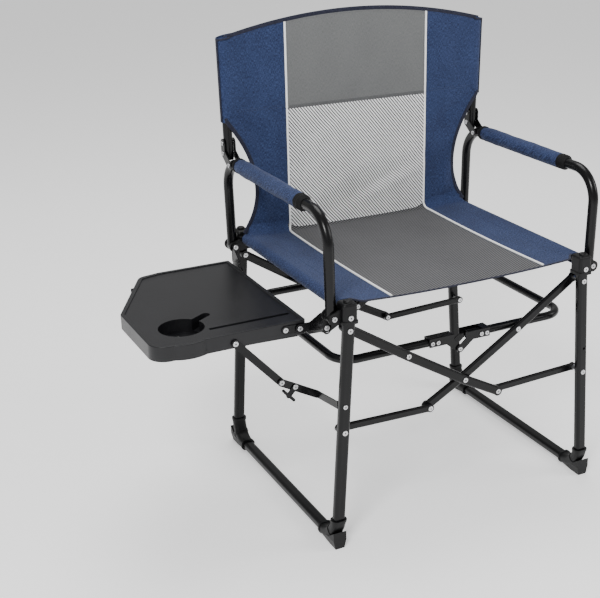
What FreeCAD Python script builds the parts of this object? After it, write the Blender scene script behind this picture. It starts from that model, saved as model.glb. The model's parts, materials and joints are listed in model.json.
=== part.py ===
import FreeCAD, Part
import math
import os

V = FreeCAD.Vector

# ---------------------------------------------------------------- driving dimensions (mm)
# Chair coordinates: x across the seat (0 is the middle), y from front to rear (0 is the
# middle of the side frames), z up from the ground.
half_depth = 240.0          # side frame, middle to the outer face of a leg
half_top = 250.0            # middle of the seat to the leg-top pivots
top_z = 422.0               # height of the leg-top pivots
splay_deg = 3.68            # legs lean out towards the ground
leg_wide, leg_deep = 22.0, 16.0
leg_end_z = 456.0
leg_bend = 46.0
tube_wall = 1.2
boot_wall, boot_reach, heel_long = 2.5, 60.0, 26.0   # plastic foot: wall, reach from the corner, heel
low_z = 230.6               # height of the lower leg pivots
rail_z, rail_r = 460.0, 8.0
sleeve_r = 10.6

link_tall, link_thick = 18.0, 9.0
lower_tall, lower_thick = 15.0, 8.0
layer_1 = 221.4             # |y| of the outer face of the links next to the legs
layer_2 = layer_1 - 10.0    # |y| of the outer face of the links of the second layer
mid_pivot = (122.7, 340.0)  # where a link carries the seat brace
cross_z = 265.5
link_end = (75.0, 225.0)

brace_y, brace_r, brace_bend = 188.0, 8.0, 40.0
brace_half, brace_z = 246.0, 342.0
knee_drop = 21.0
bracket_rivets = (-58.5, -46.5)
bracket_end = -65.0
knee_plate, inner_gap, outer_gap = 1.6, 0.3, 3.4   # knee cheeks: thickness, gaps off the tube

arm_pivot = (275.6, 446.0)
lug = (-275.6, 420.0)       # rivet of the table bracket, under the left arm pivots
front_ear, rear_ear = (-232.5, -228.0), (-207.0, -202.5)
arm_lean_deg = 1.0
arm_y, arm_r, arm_bend = 217.5, 9.5, 58.0
arm_top = 624.0
pad_r, pad_front, pad_rear = 15.0, -133.0, 156.0
hinge_y, hinge_z = 177.0, 621.0
post_y, post_r = 204.0, 9.0
post_low, post_high = 626.0, 853.0

back_y = 195.0              # mid-surface of the backrest cloth
cloth = 3.0                 # thickness that stands for cloth
crown_z, corner_z = 897.0, 860.0
seam_z = 700.0              # sewn seam across the backrest, at the foot of the post pockets
centre_half = 61.0          # half width of the middle strip of the backrest
crease_z, seat_dip = 462.0, 449.0
crease_gap = 9.5

table_x = (-290.0, -567.0)
table_y = (-148.0, 206.0)
table_top, table_deep, table_wall = 418.0, 25.0, 2.5
table_hinge = (-303.0, 406.0)
cup_centre, cup_r = (-492.0, -75.0), 40.0
cup_floor_z = 392.0
swell_centre, swell_r = (-502.0, -95.0), 60.0
strut_top, strut_knee, strut_foot = (-424.0, 402.0), (-342.0, 311.0), (-261.0, 281.0)
strut_crank = (-273.0, 272.5)   # where the lower bar turns forward, to pass behind the leg
latch_pivot = (-317.0, 298.5)
strut_y = 154.0
bar_tall, bar_thick = 14.0, 2.4
bracket_thick = 2.4

rivet_r, rivet_hole, head_r, head_h = 2.4, 2.55, 5.0, 1.5
ORIGIN_SHIFT = V(133.0, 0.0, 0.0)   # moves the middle of the whole object's box to x = 0

nodes = {}


# ---------------------------------------------------------------- small tools
def box(x0, y0, z0, x1, y1, z1):
    return Part.makeBox(x1 - x0, y1 - y0, z1 - z0, V(x0, y0, z0))


def rod(start, end, radius):
    line = end.sub(start)
    return Part.makeCylinder(radius, line.Length, start, line)


def turn_y(shape, x, z, degrees):
    """A copy turned about the line through (x, z) that runs along +Y."""
    turned = shape.copy()
    turned.rotate(V(x, 0, z), V(0, 1, 0), degrees)
    return turned


def mirror_x(shape):
    return shape.mirror(V(0, 0, 0), V(1, 0, 0))


def mirror_y(shape):
    return shape.mirror(V(0, 0, 0), V(0, 1, 0))


def both_ends(shape):
    """The piece and its mirror image at the other end of the chair, front to rear."""
    return Part.makeCompound([shape, mirror_y(shape)])


def rounded_path(points, radius):
    """Straight runs joined by tangent arcs of one radius."""
    edges = []
    last = points[0]
    for before, corner, after in zip(points, points[1:], points[2:]):
        a = before.sub(corner).normalize()
        b = after.sub(corner).normalize()
        half = a.getAngle(b) / 2
        reach = radius / math.tan(half)
        p, q = corner + a * reach, corner + b * reach
        middle = corner + (a + b).normalize() * (radius / math.sin(half) - radius)
        edges.append(Part.LineSegment(last, p).toShape())
        edges.append(Part.Arc(p, middle, q).toShape())
        last = q
    edges.append(Part.LineSegment(last, points[-1]).toShape())
    return Part.Wire(edges)


def rounded_profile(centre, u, v, width, height, corner):
    """A rounded rectangle: width along u, height along v."""
    w, h = width / 2, height / 2
    k = corner * (1 - math.sqrt(0.5))

    def at(x, y):
        return centre + u * x + v * y

    edges = []
    for sx, sy in ((1, 1), (-1, 1), (-1, -1), (1, -1)):
        side = at(sx * w, sy * (h - corner))
        top = at(sx * (w - corner), sy * h)
        arc = Part.Arc(side, at(sx * (w - k), sy * (h - k)), top)
        edges.append((arc.toShape(), side, top))
    wire = []
    for i, (arc, side, top) in enumerate(edges):
        ends = (side, top) if i % 2 == 0 else (top, side)
        after = edges[(i + 1) % 4]
        start = after[1] if (i + 1) % 2 == 0 else after[2]
        wire.append(arc)
        if ends[1].sub(start).Length > 1e-6:
            wire.append(Part.LineSegment(ends[1], start).toShape())
    return Part.Wire(Part.__sortEdges__(wire))


def tube(points, bend, u, width, height, corner, wall=tube_wall):
    """A hollow tube along the path; u is the direction of its width at the start."""
    path = rounded_path(points, bend)
    along = points[1].sub(points[0]).normalize()
    v = along.cross(u)
    outer = path.makePipeShell([rounded_profile(points[0], u, v, width, height, corner)], True, False)
    if not wall:
        return outer
    inner_profile = rounded_profile(
        points[0], u, v, width - 2 * wall, height - 2 * wall, corner - wall)
    inner = path.makePipeShell([inner_profile], True, False)
    return outer.cut(inner)


def round_tube(points, bend, radius):
    """A hollow round tube along the path."""
    path = rounded_path(points, bend)
    along = points[1].sub(points[0])
    outer, inner = [path.makePipeShell([Part.Wire(Part.makeCircle(r, points[0], along))], True, False)
                    for r in (radius, radius - tube_wall)]
    return outer.cut(inner)


def drill(shape, x, z, y0=-300.0, y1=300.0, radius=rivet_hole):
    """A hole along Y."""
    return shape.cut(rod(V(x, y0, z), V(x, y1, z), radius))


def rivet(x, z, front, rear, head=head_r):
    """A tubular rivet along Y that clamps what lies between front and rear."""
    body = rod(V(x, front - head_h, z), V(x, rear + head_h, z), rivet_r)
    body = body.fuse(rod(V(x, front - head_h, z), V(x, front, z), head))
    body = body.fuse(rod(V(x, rear, z), V(x, rear + head_h, z), head))
    rims = [e for e in body.Edges if e.Curve.TypeId == "Part::GeomCircle"
            and abs(e.Curve.Radius - head) < 0.01
            and (abs(e.Curve.Center.y - front + head_h) < 0.01
                 or abs(e.Curve.Center.y - rear - head_h) < 0.01)]
    body = body.makeFillet(0.8, rims)
    return body.cut(rod(V(x, front - 3, z), V(x, rear + 3, z), 1.5))


def washer(x, z, front, rear, radius=6.0):
    ring = rod(V(x, front, z), V(x, rear, z), radius)
    return drill(ring, x, z)


def plate(points, y0, y1, radius):
    """A flat strip along a chain of (x, z) points, with round ends and joints."""
    strip = None
    for (x0, z0), (x1, z1) in zip(points, points[1:]):
        side = V(-(z1 - z0), 0, x1 - x0).normalize() * radius
        a, b = V(x0, y0, z0), V(x1, y0, z1)
        face = Part.Face(Part.makePolygon([a + side, b + side, b - side, a - side, a + side]))
        piece = face.extrude(V(0, y1 - y0, 0))
        for end in ((x0, z0), (x1, z1)):
            piece = piece.fuse(rod(V(end[0], y0, end[1]), V(end[0], y1, end[1]), radius))
        strip = piece if strip is None else strip.fuse(piece)
    return strip.removeSplitter()


def soften(shape, radius, wanted):
    """Fillet the edges for which wanted(edge) is true."""
    edges = [e for e in shape.Edges if wanted(e)]
    return shape.makeFillet(radius, edges)


def leg_x(z):
    """Distance of a leg's axis from the middle of the chair at height z."""
    return half_top + (top_z - z) * math.tan(math.radians(splay_deg))


# ---------------------------------------------------------------- side frames
def leg_frame_solid(wall, grow=0.0):
    """Left U-frame: front leg, ground rail and rear leg in one bent tube. grow widens its section."""
    y = half_depth - leg_deep / 2
    low = 4.5 + leg_deep / 2
    points = [V(-half_top, -y, leg_end_z), V(-half_top, -y, low),
              V(-half_top, y, low), V(-half_top, y, leg_end_z)]
    frame = tube(points, leg_bend, V(1, 0, 0), leg_wide + grow, leg_deep + grow, 6.0 + grow / 2, wall)
    return turn_y(frame, -half_top, top_z, splay_deg)


def foot(leg_solid):
    """Plastic boot round the front bend of the left frame, with raised ribs and a tapered heel."""
    x, y0 = -leg_x(10), -half_depth - boot_wall
    boot = leg_frame_solid(0, 2 * boot_wall).common(
        box(x - 30, y0 - 1, 0, x + 30, -half_depth + boot_reach, boot_reach - 4))
    bands = leg_frame_solid(0, 2 * boot_wall + 2.4)
    collar = box(x - 30, y0 - 5, boot_reach - 9, x + 30, -half_depth + 40, boot_reach - 4)
    toe = box(x - 30, -half_depth + boot_reach - 5, 0, x + 30, -half_depth + boot_reach, 40)
    slant = box(x - 30, -3.0, -60, x + 30, 3.0, 60)
    slant.rotate(V(x, 0, 0), V(1, 0, 0), -45)
    slant.translate(V(0, -half_depth + leg_bend, 4.5 + leg_bend))
    slant = slant.common(box(x - 30, y0 - 5, 0, x + 30, -half_depth + 40, 40))
    boot = boot.fuse([bands.common(each) for each in (collar, toe, slant)])
    side = Part.makePolygon([V(x - 15, y0, 0), V(x - 15, y0 + heel_long, 0),
                             V(x - 15, y0 + 50, 4), V(x - 15, y0 + 50, 9), V(x - 15, y0 + 20, 20),
                             V(x - 15, y0, 34), V(x - 15, y0, 0)])
    heel = Part.Face(side).extrude(V(30, 0, 0))
    front = Part.makePolygon([V(x - 9, y0 - 2, 0), V(x - 13, y0 - 2, 17), V(x - 13, y0 - 2, 60),
                              V(x + 13, y0 - 2, 60), V(x + 13, y0 - 2, 17), V(x + 9, y0 - 2, 0),
                              V(x - 9, y0 - 2, 0)])
    heel = heel.common(Part.Face(front).extrude(V(0, 80, 0)))
    boot = boot.fuse(heel).common(box(x - 40, y0 - 5, 0, x + 40, 0, 80))
    return boot.cut(leg_solid).removeSplitter()


def connector(leg_solid):
    """Plastic cap on the front leg of the left frame, with two ears for the arm."""
    x, y0, y1 = -half_top, -half_depth - 3.0, -213.0
    cap = box(x - 14, y0, 435, x + 14, y1, 473)
    cap = soften(cap, 5.5, lambda e: abs(e.tangentAt(e.FirstParameter).z) > 0.99
                 or e.CenterOfMass.z > 472.9)
    bump = rod(V(x, y0 + 11.0, 470.0), V(x, y0 + 11.0, 477.0), 8.0)
    bump = soften(bump, 2.5, lambda e: e.CenterOfMass.z > 476.9)
    collar = box(x - 15, y0 - 1, 435.5, x + 15, y1 + 1, 441)
    collar = soften(collar, 4.0, lambda e: abs(e.tangentAt(e.FirstParameter).z) > 0.99)
    cap = cap.fuse([bump, collar])
    px, pz = arm_pivot
    for near, far in (front_ear, rear_ear):
        cap = cap.fuse(plate([(x - 8, pz + 4), (-px, pz)], near, far, 11.0))
    web = box(x - 13.9, y1 - 0.5, 437, x - 6.5, rear_ear[1], 464)
    cap = cap.fuse(web).removeSplitter()
    cap = cap.cut(rod(V(x, -234, rail_z), V(x, -190, rail_z), rail_r))
    cap = cap.cut(leg_solid)
    return drill(drill(cap, x, 447.0), -px, pz)


def side_frame(foot_thick):
    """Every piece of the left side frame, by name without its side. The arm pivot's rivets
    also hold a bracket foot of the given thickness."""
    leg_solid = leg_frame_solid(0)
    rail_solid = rod(V(-half_top, -228, rail_z), V(-half_top, 228, rail_z), rail_r)
    leg = leg_frame_solid(tube_wall)
    low_x = leg_x(low_z)
    foot_x, foot_z = strut_foot
    for x, z in ((half_top, top_z), (low_x, low_z), (half_top, 447.0), (-foot_x, foot_z)):
        leg = drill(leg, -x, z)
    leg = leg.cut(rail_solid)
    rail = rail_solid.cut(rod(V(-half_top, -230, rail_z), V(-half_top, 230, rail_z), rail_r - 1.2))
    sleeve = rod(V(-half_top, -200, rail_z), V(-half_top, 200, rail_z), sleeve_r).cut(
        rod(V(-half_top, -201, rail_z), V(-half_top, 201, rail_z), rail_r + 0.01))
    foot_piece = foot(leg_solid)
    cap = connector(leg_solid)
    outer, inner = -half_depth, -half_depth + leg_deep
    rivets = [rivet(-half_top, 447.0, outer - 3.0, -213.0),
              rivet(-arm_pivot[0], arm_pivot[1], front_ear[0], rear_ear[1] + foot_thick)]
    return {"leg_frame": leg, "seat_rail": rail, "seat_sleeve": sleeve,
            "front_connector": cap, "rear_connector": mirror_y(cap),
            "feet": both_ends(foot_piece), "rivets": rivets,
            "faces": (outer, inner, low_x)}


# ---------------------------------------------------------------- folding links
def link(outer_y):
    """Upper link from the left leg top, over the cross pivot, to its lower end."""
    y = -outer_y + link_thick / 2
    spots = [(-half_top, top_z), (-mid_pivot[0], mid_pivot[1]), (0.0, cross_z), link_end]
    points = [V(x, y, z) for x, z in spots]
    body = tube(points, 300.0, V(0, 1, 0), link_thick, link_tall, 4.3)
    for x, z in (spots[0], spots[-1]):
        body = body.fuse(rod(V(x, y - link_thick / 2, z), V(x, y + link_thick / 2, z), link_tall / 2))
    for x, z in spots:
        body = drill(body, x, z)
    return body


def lower_link(outer_y):
    """Lower link from the left leg to the lower end of the opposite upper link."""
    y = -outer_y + lower_thick / 2
    a, b = (-leg_x(low_z), low_z), (-link_end[0], link_end[1])
    body = tube([V(a[0], y, a[1]), V(b[0], y, b[1])], 1, V(0, 1, 0), lower_thick, lower_tall, 3.8)
    for x, z in (a, b):
        body = body.fuse(rod(V(x, y - lower_thick / 2, z), V(x, y + lower_thick / 2, z), lower_tall / 2))
        body = drill(body, x, z)
    return body


# ---------------------------------------------------------------- seat brace
def brace():
    """Left half of the brace under the seat: a U whose open ends meet at the knees."""
    y, end = brace_y, -20.0
    points = [V(end, -y, brace_z), V(-brace_half, -y, brace_z),
              V(-brace_half, y, brace_z), V(end, y, brace_z)]
    body = round_tube(points, brace_bend, brace_r)
    body = drill(body, -mid_pivot[0], mid_pivot[1])
    for x in bracket_rivets:
        body = drill(body, x, brace_z)
    return body


def knee_bracket(gap, web_end):
    """Channel over the left half's front tube end. gap sets its cheeks off the tube, and its
    web reaches from the outer end to web_end."""
    y, thick = -brace_y, knee_plate
    knee_z = brace_z - knee_drop
    half = brace_r + gap
    piece = None
    for y0 in (y - half - thick, y + half):
        cheek = box(bracket_end, y0, brace_z - 7, -12.0, y0 + thick, brace_z + brace_r + 2.4)
        cheek = cheek.fuse(plate([(-22, brace_z - 3), (0, knee_z)], y0, y0 + thick, 7.0))
        piece = cheek if piece is None else piece.fuse(cheek)
    web = box(bracket_end, y - half - thick, brace_z + brace_r + 0.4, web_end, y + half + thick,
              brace_z + brace_r + 2.4)
    piece = piece.fuse(web).removeSplitter()
    piece = soften(piece, 1.2, lambda e: abs(e.tangentAt(e.FirstParameter).x) > 0.99
                   and e.CenterOfMass.z > brace_z + brace_r + 2.3
                   and abs(e.CenterOfMass.y - y) > half + thick - 0.1)
    for x in bracket_rivets:
        piece = drill(piece, x, brace_z)
    piece = drill(piece, 0.0, knee_z)
    return piece


def brace_rivets(gap):
    """Rivets of the left half at the front: two through the tube, one in each cheek's ear."""
    y, knee_z = -brace_y, brace_z - knee_drop
    half = brace_r + gap + knee_plate
    out = [rivet(x, brace_z, y - half, y + half, 4.2) for x in bracket_rivets]
    for y0, outward in ((y - half, True), (y + half - knee_plate, False)):
        if gap > inner_gap:
            out.append(half_rivet((0.0, knee_z), y0, y0 + knee_plate, outward, 4.2))
        else:
            out.append(ear_pin(0.0, knee_z, y0, y0 + knee_plate))
    return out


def ear_pin(x, z, y0, y1):
    """A flush pin that fills an ear's hole without heads."""
    return rod(V(x, y0, z), V(x, y1, z), rivet_r).cut(rod(V(x, y0 - 1, z), V(x, y1 + 1, z), 1.5))


# ---------------------------------------------------------------- arms and back posts
def arm_tube():
    px, pz = arm_pivot
    points = [V(-px, -arm_y, pz), V(-px, -arm_y, arm_top), V(-px, arm_y, arm_top), V(-px, arm_y, pz)]
    body = round_tube(points, arm_bend, arm_r)
    for side in (-1, 1):
        y = side * arm_y
        body = body.fuse(rod(V(-px, y - arm_r + 0.3, pz), V(-px, y + arm_r - 0.3, pz), arm_r))
    body = drill(body, -px, pz)
    body = body.cut(rod(V(-px - 30, hinge_y, hinge_z), V(-px + 30, hinge_y, hinge_z), rivet_hole))
    return turn_y(body, -px, pz, -arm_lean_deg)


def arm_pad():
    px = arm_pivot[0]
    start, end = V(-px, pad_front, arm_top), V(-px, pad_rear, arm_top)
    pad = rod(start, end, pad_r)
    pad = soften(pad, 4.0, lambda e: e.Curve.TypeId == "Part::GeomCircle")
    pad = pad.cut(rod(V(-px, pad_front - 5, arm_top), V(-px, pad_rear + 5, arm_top), arm_r + 0.01))
    return turn_y(pad, -px, arm_pivot[1], -arm_lean_deg)


def back_post():
    px = arm_pivot[0]
    tall = rod(V(-px, post_y, post_low), V(-px, post_y, post_high), post_r)
    bore = rod(V(-px, post_y, post_low - 1), V(-px, post_y, post_high - 3), post_r - 1.2)
    body = tall.cut(bore)
    for z in (post_low + 13, post_low + 33):
        body = body.cut(rod(V(-px - 30, post_y, z), V(-px + 30, post_y, z), rivet_hole))
    return turn_y(body, -px, arm_pivot[1], -arm_lean_deg)


def hinge_parts():
    """The two plates that carry the left back post on the arm, and their rivets."""
    px = arm_pivot[0]
    zs = (post_low + 13, post_low + 33)
    plates, pins = None, []
    for side in (-1, 1):
        x0 = -px + side * (arm_r + 0.4) - (2.2 if side < 0 else 0)
        chain = [(hinge_y, hinge_z), (post_y, zs[0]), (post_y, zs[1])]
        flat = plate(chain, 0, 2.2, 8.5)
        flat.rotate(V(0, 0, 0), V(0, 0, 1), 90)
        flat.translate(V(x0 + 2.2, 0, 0))
        plates = flat if plates is None else plates.fuse(flat)
    for y, z in ((hinge_y, hinge_z), (post_y, zs[0]), (post_y, zs[1])):
        half = arm_r + 2.6
        pin = rivet(0.0, z, -half, half, 4.6)
        pin.rotate(V(0, 0, 0), V(0, 0, 1), 90)
        pin.translate(V(-px, y, 0))
        pins.append(turn_y(pin, -px, arm_pivot[1], -arm_lean_deg))
        plates = plates.cut(rod(V(-px - 30, y, z), V(-px + 30, y, z), rivet_hole))
    return turn_y(plates, -px, arm_pivot[1], -arm_lean_deg), pins


# ---------------------------------------------------------------- cloth
def seat_half():
    """Left half of the seat cloth, from the rail sleeve to the middle, slightly dipped."""
    x0 = -half_top + sleeve_r + 0.4
    rim = rail_z + 4.0
    front = -232.0
    side = Part.makePolygon([V(x0, front, rim), V(-0.3, front, seat_dip + 6),
                             V(-0.3, front, seat_dip), V(x0, front, rim - 6), V(x0, front, rim)])
    return Part.Face(side).extrude(V(0, back_y + 1 - front, 0)).cut(
        box(-half_top, -240, 400, -half_top + 22, -206, 500)).cut(
        box(-half_top, 196, 400, -half_top + 22, 250, 500))


def back_edge(z):
    """Half width of the backrest cloth at height z, between the crease and the seam."""
    waist_z, waist = 558.0, 228.0
    reach, wide = (seam_z - waist_z, 272.0) if z > waist_z else (waist_z - crease_z, 268.0)
    return waist + (wide - waist) * (abs(z - waist_z) / reach) ** 2


def crown(x):
    return crown_z - (crown_z - corner_z) * (x / 287.0) ** 2


def upright_sheet(outline):
    """A sheet of the backrest: a closed chain of (x, z) points, cloth thick."""
    points = [V(x, back_y - cloth / 2, z) for x, z in outline]
    return Part.Face(Part.makePolygon(points + points[:1])).extrude(V(0, cloth, 0))


def lower_back_half():
    """Left half of the backrest below the seam, down to the crease with the seat."""
    steps = 14
    rise = (seam_z - 0.6 - crease_z - crease_gap) / steps
    zs = [crease_z + crease_gap + i * rise for i in range(steps + 1)]
    edge = [(-back_edge(z), z) for z in zs]
    return upright_sheet(edge + [(-0.3, zs[-1]), (-0.3, zs[0])])


def back_side_panel():
    """Left strip of the backrest with its pocket over the post."""
    px, lean = arm_pivot[0], math.tan(math.radians(arm_lean_deg))

    def post_x(z):
        return -(px + (z - arm_pivot[1]) * lean)

    outer, inner, steps = post_x(corner_z), -centre_half - 0.3, 6
    xs = [outer + (inner - outer) * i / steps for i in range(steps + 1)]
    top = [(x, crown(x)) for x in xs]
    sheet = upright_sheet([(post_x(seam_z), seam_z)] + top + [(inner, seam_z)])
    pocket = rod(V(-px, post_y, seam_z), V(-px, post_y, post_high + 3.5), post_r + 1.8)
    bore = rod(V(-px, post_y, seam_z - 1), V(-px, post_y, post_high + 1.0), post_r + 0.4)
    pocket = turn_y(pocket, -px, arm_pivot[1], -arm_lean_deg)
    bore = turn_y(bore, -px, arm_pivot[1], -arm_lean_deg)
    return sheet.fuse(pocket).cut(bore).removeSplitter()


def back_centre_panel():
    xs = [-centre_half + centre_half * i / 3 for i in range(7)]
    return upright_sheet([(-centre_half, seam_z)] + [(x, crown(x)) for x in xs] + [(centre_half, seam_z)])


def carry_strap():
    """Webbing handle on the rear of the backrest: a low arch between two sewn ends."""
    y0, reach, thick, wide = back_y + cloth / 2 + 0.1, 30.0, 2.5, 25.0
    path = [V(0, y0 + thick / 2, 700), V(0, y0 + thick / 2, 722), V(0, y0 + reach, 760),
            V(0, y0 + reach, 815), V(0, y0 + thick / 2, 853), V(0, y0 + thick / 2, 875)]
    return tube(path, 24.0, V(1, 0, 0), wide, thick, 1.2, 0)


# ---------------------------------------------------------------- side table
def table_outline(inset):
    """The table's outline at the given inset, as a face at the table's top."""
    x_in, x_out = table_x[0] - inset, table_x[1] + inset
    y_in, y_out = table_y[0] + inset, table_y[1] - inset
    diagonal = inset * 0.41
    points = [V(x_in, y_in, 0), V(x_out, y_in, 0), V(x_out, 30 - diagonal, 0),
              V(-478 + inset * 0.7, y_out - 8 - inset * 0.3, 0), V(-436 + diagonal, y_out, 0),
              V(x_in, y_out, 0)]
    radii = [4.0, 30.0, 14.0, 22.0, 14.0, 4.0]
    edges, n = [], len(points)
    spots = []
    for i, corner in enumerate(points):
        radius = max(1.0, radii[i] - inset)
        a = points[i - 1].sub(corner).normalize()
        b = points[(i + 1) % n].sub(corner).normalize()
        half = a.getAngle(b) / 2
        reach = radius / math.tan(half)
        middle = corner + (a + b).normalize() * (radius / math.sin(half) - radius)
        spots.append((corner + a * reach, middle, corner + b * reach))
    for i, (p, m, q) in enumerate(spots):
        edges.append(Part.Arc(p, m, q).toShape())
        edges.append(Part.LineSegment(q, spots[(i + 1) % n][0]).toShape())
    return Part.Face(Part.Wire(edges))


def slab(inset, z0, z1):
    """The table's outline as a slab, with the corner that swells round the cup well."""
    face = table_outline(inset)
    face.translate(V(0, 0, z0))
    swell = Part.makeCylinder(swell_r - inset, z1 - z0, V(*swell_centre, z0))
    return face.extrude(V(0, 0, z1 - z0)).fuse(swell).removeSplitter()


def side_table():
    """Moulded table: skirt, sunken top, cup well with drain slots, mug slot and groove."""
    low, top = table_top - table_deep, table_top
    shell = slab(0, low, top + 2.0)
    shell = shell.cut(slab(7.0, top, top + 5))
    shell = shell.cut(slab(table_wall, low - 1, top - 3.0))
    cx, cy = cup_centre
    well = Part.makeCylinder(cup_r + table_wall, top - cup_floor_z - 0.5, V(cx, cy, cup_floor_z - 1.5))
    notch_end = V(cx + 58, cy + 36, 0)
    along = notch_end.sub(V(cx, cy, 0)).normalize()
    side = V(-along.y, along.x, 0)

    def mug_slot(half, z0, z1):
        a, b = V(cx, cy, z0), V(notch_end.x, notch_end.y, z0)
        face = Part.Face(Part.makePolygon(
            [a + side * half, b + side * half, b - side * half, a - side * half, a + side * half]))
        return face.extrude(V(0, 0, z1 - z0)).fuse(
            Part.makeCylinder(half, z1 - z0, V(notch_end.x, notch_end.y, z0)))

    groove_y = -105.0
    trough = box(-455, groove_y - 6.5, top - 12, -300, groove_y + 6.5, top - 2)
    groove = box(-452.5, groove_y - 4, top - 9.5, -302.5, groove_y + 4, top + 1)
    shell = shell.fuse(well).fuse(mug_slot(10.5, low + 1, top - 2)).fuse(trough)
    for y in (-60.0, 60.0, strut_y + 1.0):
        shell = shell.fuse(box(table_x[1] + 60, y, low + 4, table_x[0] - 3, y + 2.5, top - 2.5)
                           .cut(Part.makeCylinder(cup_r, 40, V(cx, cy, low))))
    shell = shell.cut(Part.makeCylinder(cup_r, 60, V(cx, cy, cup_floor_z + 1)))
    shell = shell.cut(mug_slot(8.0, low + 3.5, top + 5)).cut(groove)
    rear_tab = -table_y[0] + 4.4
    shell = shell.cut(box(-312, rear_tab - bracket_thick - 1.2, low - 1, -280, rear_tab + 1.2, top - 3.2))
    petal = Part.Ellipse(V(0, 0, 0), 11.5, 2.9).toShape()
    petal = Part.Face(Part.Wire([petal])).extrude(V(0, 0, 8))
    for k in range(4):
        leaf = petal.copy()
        leaf.translate(V(16, 0, cup_floor_z - 4))
        leaf.rotate(V(0, 0, 0), V(0, 0, 1), 90 * k)
        leaf.translate(V(cx, cy, 0))
        shell = shell.cut(leaf)
    shell = shell.fuse(Part.makeCylinder(5, 6.0, V(table_hinge[0], table_y[0] + 2, table_hinge[1]),
                                         V(0, 1, 0))).removeSplitter()
    for x, z in (table_hinge, (-329.5, 407.0), strut_top):
        shell = drill(shell, x, z, table_y[0] - 5, table_y[0] + 12)
        shell = drill(shell, x, z, strut_y - 4, table_y[1] + 5)
    return soften(shell, 1.2, lambda e: e.CenterOfMass.z > top + 1.99
                  and e.BoundBox.ZLength < 0.01)


def bracket():
    """Steel foot on the front connector's rear ear, and the arm from it to the table's skirt."""
    hx, hz = table_hinge
    px, pz = arm_pivot
    tab_y = table_y[0] - 4.4
    ear_y = rear_ear[1]
    near = ear_y + bracket_thick
    outer, inner = -283.2, -280.8
    foot = plate([(-px, pz), lug], ear_y, near, 8.0)
    foot = drill(drill(foot, -px, pz), *lug)
    flange = plate([lug, (lug[0], lug[1] + 8)], near, near + bracket_thick, 7.8)
    flange = flange.cut(box(outer - 20, near - 1, 380, outer, near + 5, 480))
    back_y0 = tab_y + bracket_thick
    run = Part.makePolygon([V(outer, near, 446), V(outer, near, 412), V(outer, tab_y, hz - 8),
                            V(outer, back_y0, hz - 8), V(outer, back_y0, hz + 8),
                            V(outer, near + 8, 446), V(outer, near, 446)])
    run = Part.Face(run).extrude(V(inner - outer, 0, 0))
    tab = plate([(outer + 1, hz), (hx, hz)], tab_y, back_y0, 8.0)
    tab = tab.cut(box(inner, tab_y - 1, 380, inner + 20, tab_y + 5, 440))
    arm = drill(drill(flange.fuse([run, tab]).removeSplitter(), hx, hz), *lug)
    return Part.makeCompound([foot, arm])


def hinge_plate():
    """Small plate riveted on the table's front skirt, beside the bracket's eye."""
    hx, hz = table_hinge
    y = table_y[0]
    body = plate([(hx, hz), (-329.5, 407.0)], y - 1.8, y, 7.5)
    return drill(drill(body, hx, hz), -329.5, 407.0)


def strut_bar(a, b, y0):
    body = plate([a, b], y0, y0 + bar_thick, bar_tall / 2)
    return drill(drill(body, *a), *b)


def strut_lower(y0):
    """Lower bar: flat at the knee, then turned forward, with a tab behind the front leg."""
    cx, cz = strut_crank
    tab_y = -half_depth + leg_deep + 0.6
    tab_x, tab_z = cx + 4.0, strut_foot[1] - 1.5
    flat = plate([strut_knee, strut_crank], y0, y0 + bar_thick, bar_tall / 2)
    flat = flat.cut(box(cx + bar_thick, y0 - 1, cz - 20, cx + 20, y0 + bar_thick + 1, cz + 20))
    tab = plate([(tab_x, tab_z), strut_foot, (strut_foot[0] + 2, strut_foot[1])],
                tab_y, tab_y + bar_thick, bar_tall / 2)
    tab = tab.cut(box(tab_x - 20, tab_y - 1, tab_z - 20, tab_x, tab_y + bar_thick + 1, tab_z + 20))
    start = [V(cx, y0, cz - bar_tall / 2), V(cx + bar_thick, y0, cz - bar_tall / 2),
             V(cx + bar_thick, y0, cz + bar_tall / 2), V(cx, y0, cz + bar_tall / 2)]
    slope = V(tab_x - cx, tab_y + bar_thick - y0, tab_z - cz)
    run = Part.Face(Part.makePolygon(start + start[:1])).extrude(slope)
    run = run.fuse(box(cx, y0, cz - bar_tall / 2, cx + bar_thick, y0 + bar_thick, cz + bar_tall / 2))
    run = run.fuse(box(tab_x, tab_y, tab_z - bar_tall / 2, tab_x + bar_thick,
                       tab_y + bar_thick, tab_z + bar_tall / 2))
    body = flat.fuse([run, tab]).removeSplitter()
    for spot in (strut_knee, latch_pivot, strut_foot):
        body = drill(body, *spot)
    return body


def strut_latch(y0):
    """Lever beside the knee with a cross bar for the finger."""
    lx, lz = latch_pivot
    along = V(strut_knee[0] - strut_top[0], 0, strut_knee[1] - strut_top[1]).normalize()
    mx, mz = lx - 13.0, lz - 14.5
    body = plate([(lx, lz), (mx, mz)], y0 - 2.2, y0 - 0.3, 5.0)
    a = (mx - along.x * 12, mz - along.z * 12)
    b = (mx + along.x * 12, mz + along.z * 12)
    grip = plate([a, b], y0 - 5.5, y0 + 4.5, 2.8)
    return drill(body.fuse(grip).removeSplitter(), lx, lz)


# ---------------------------------------------------------------- build
def add(name, shape):
    nodes[name] = shape


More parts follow.
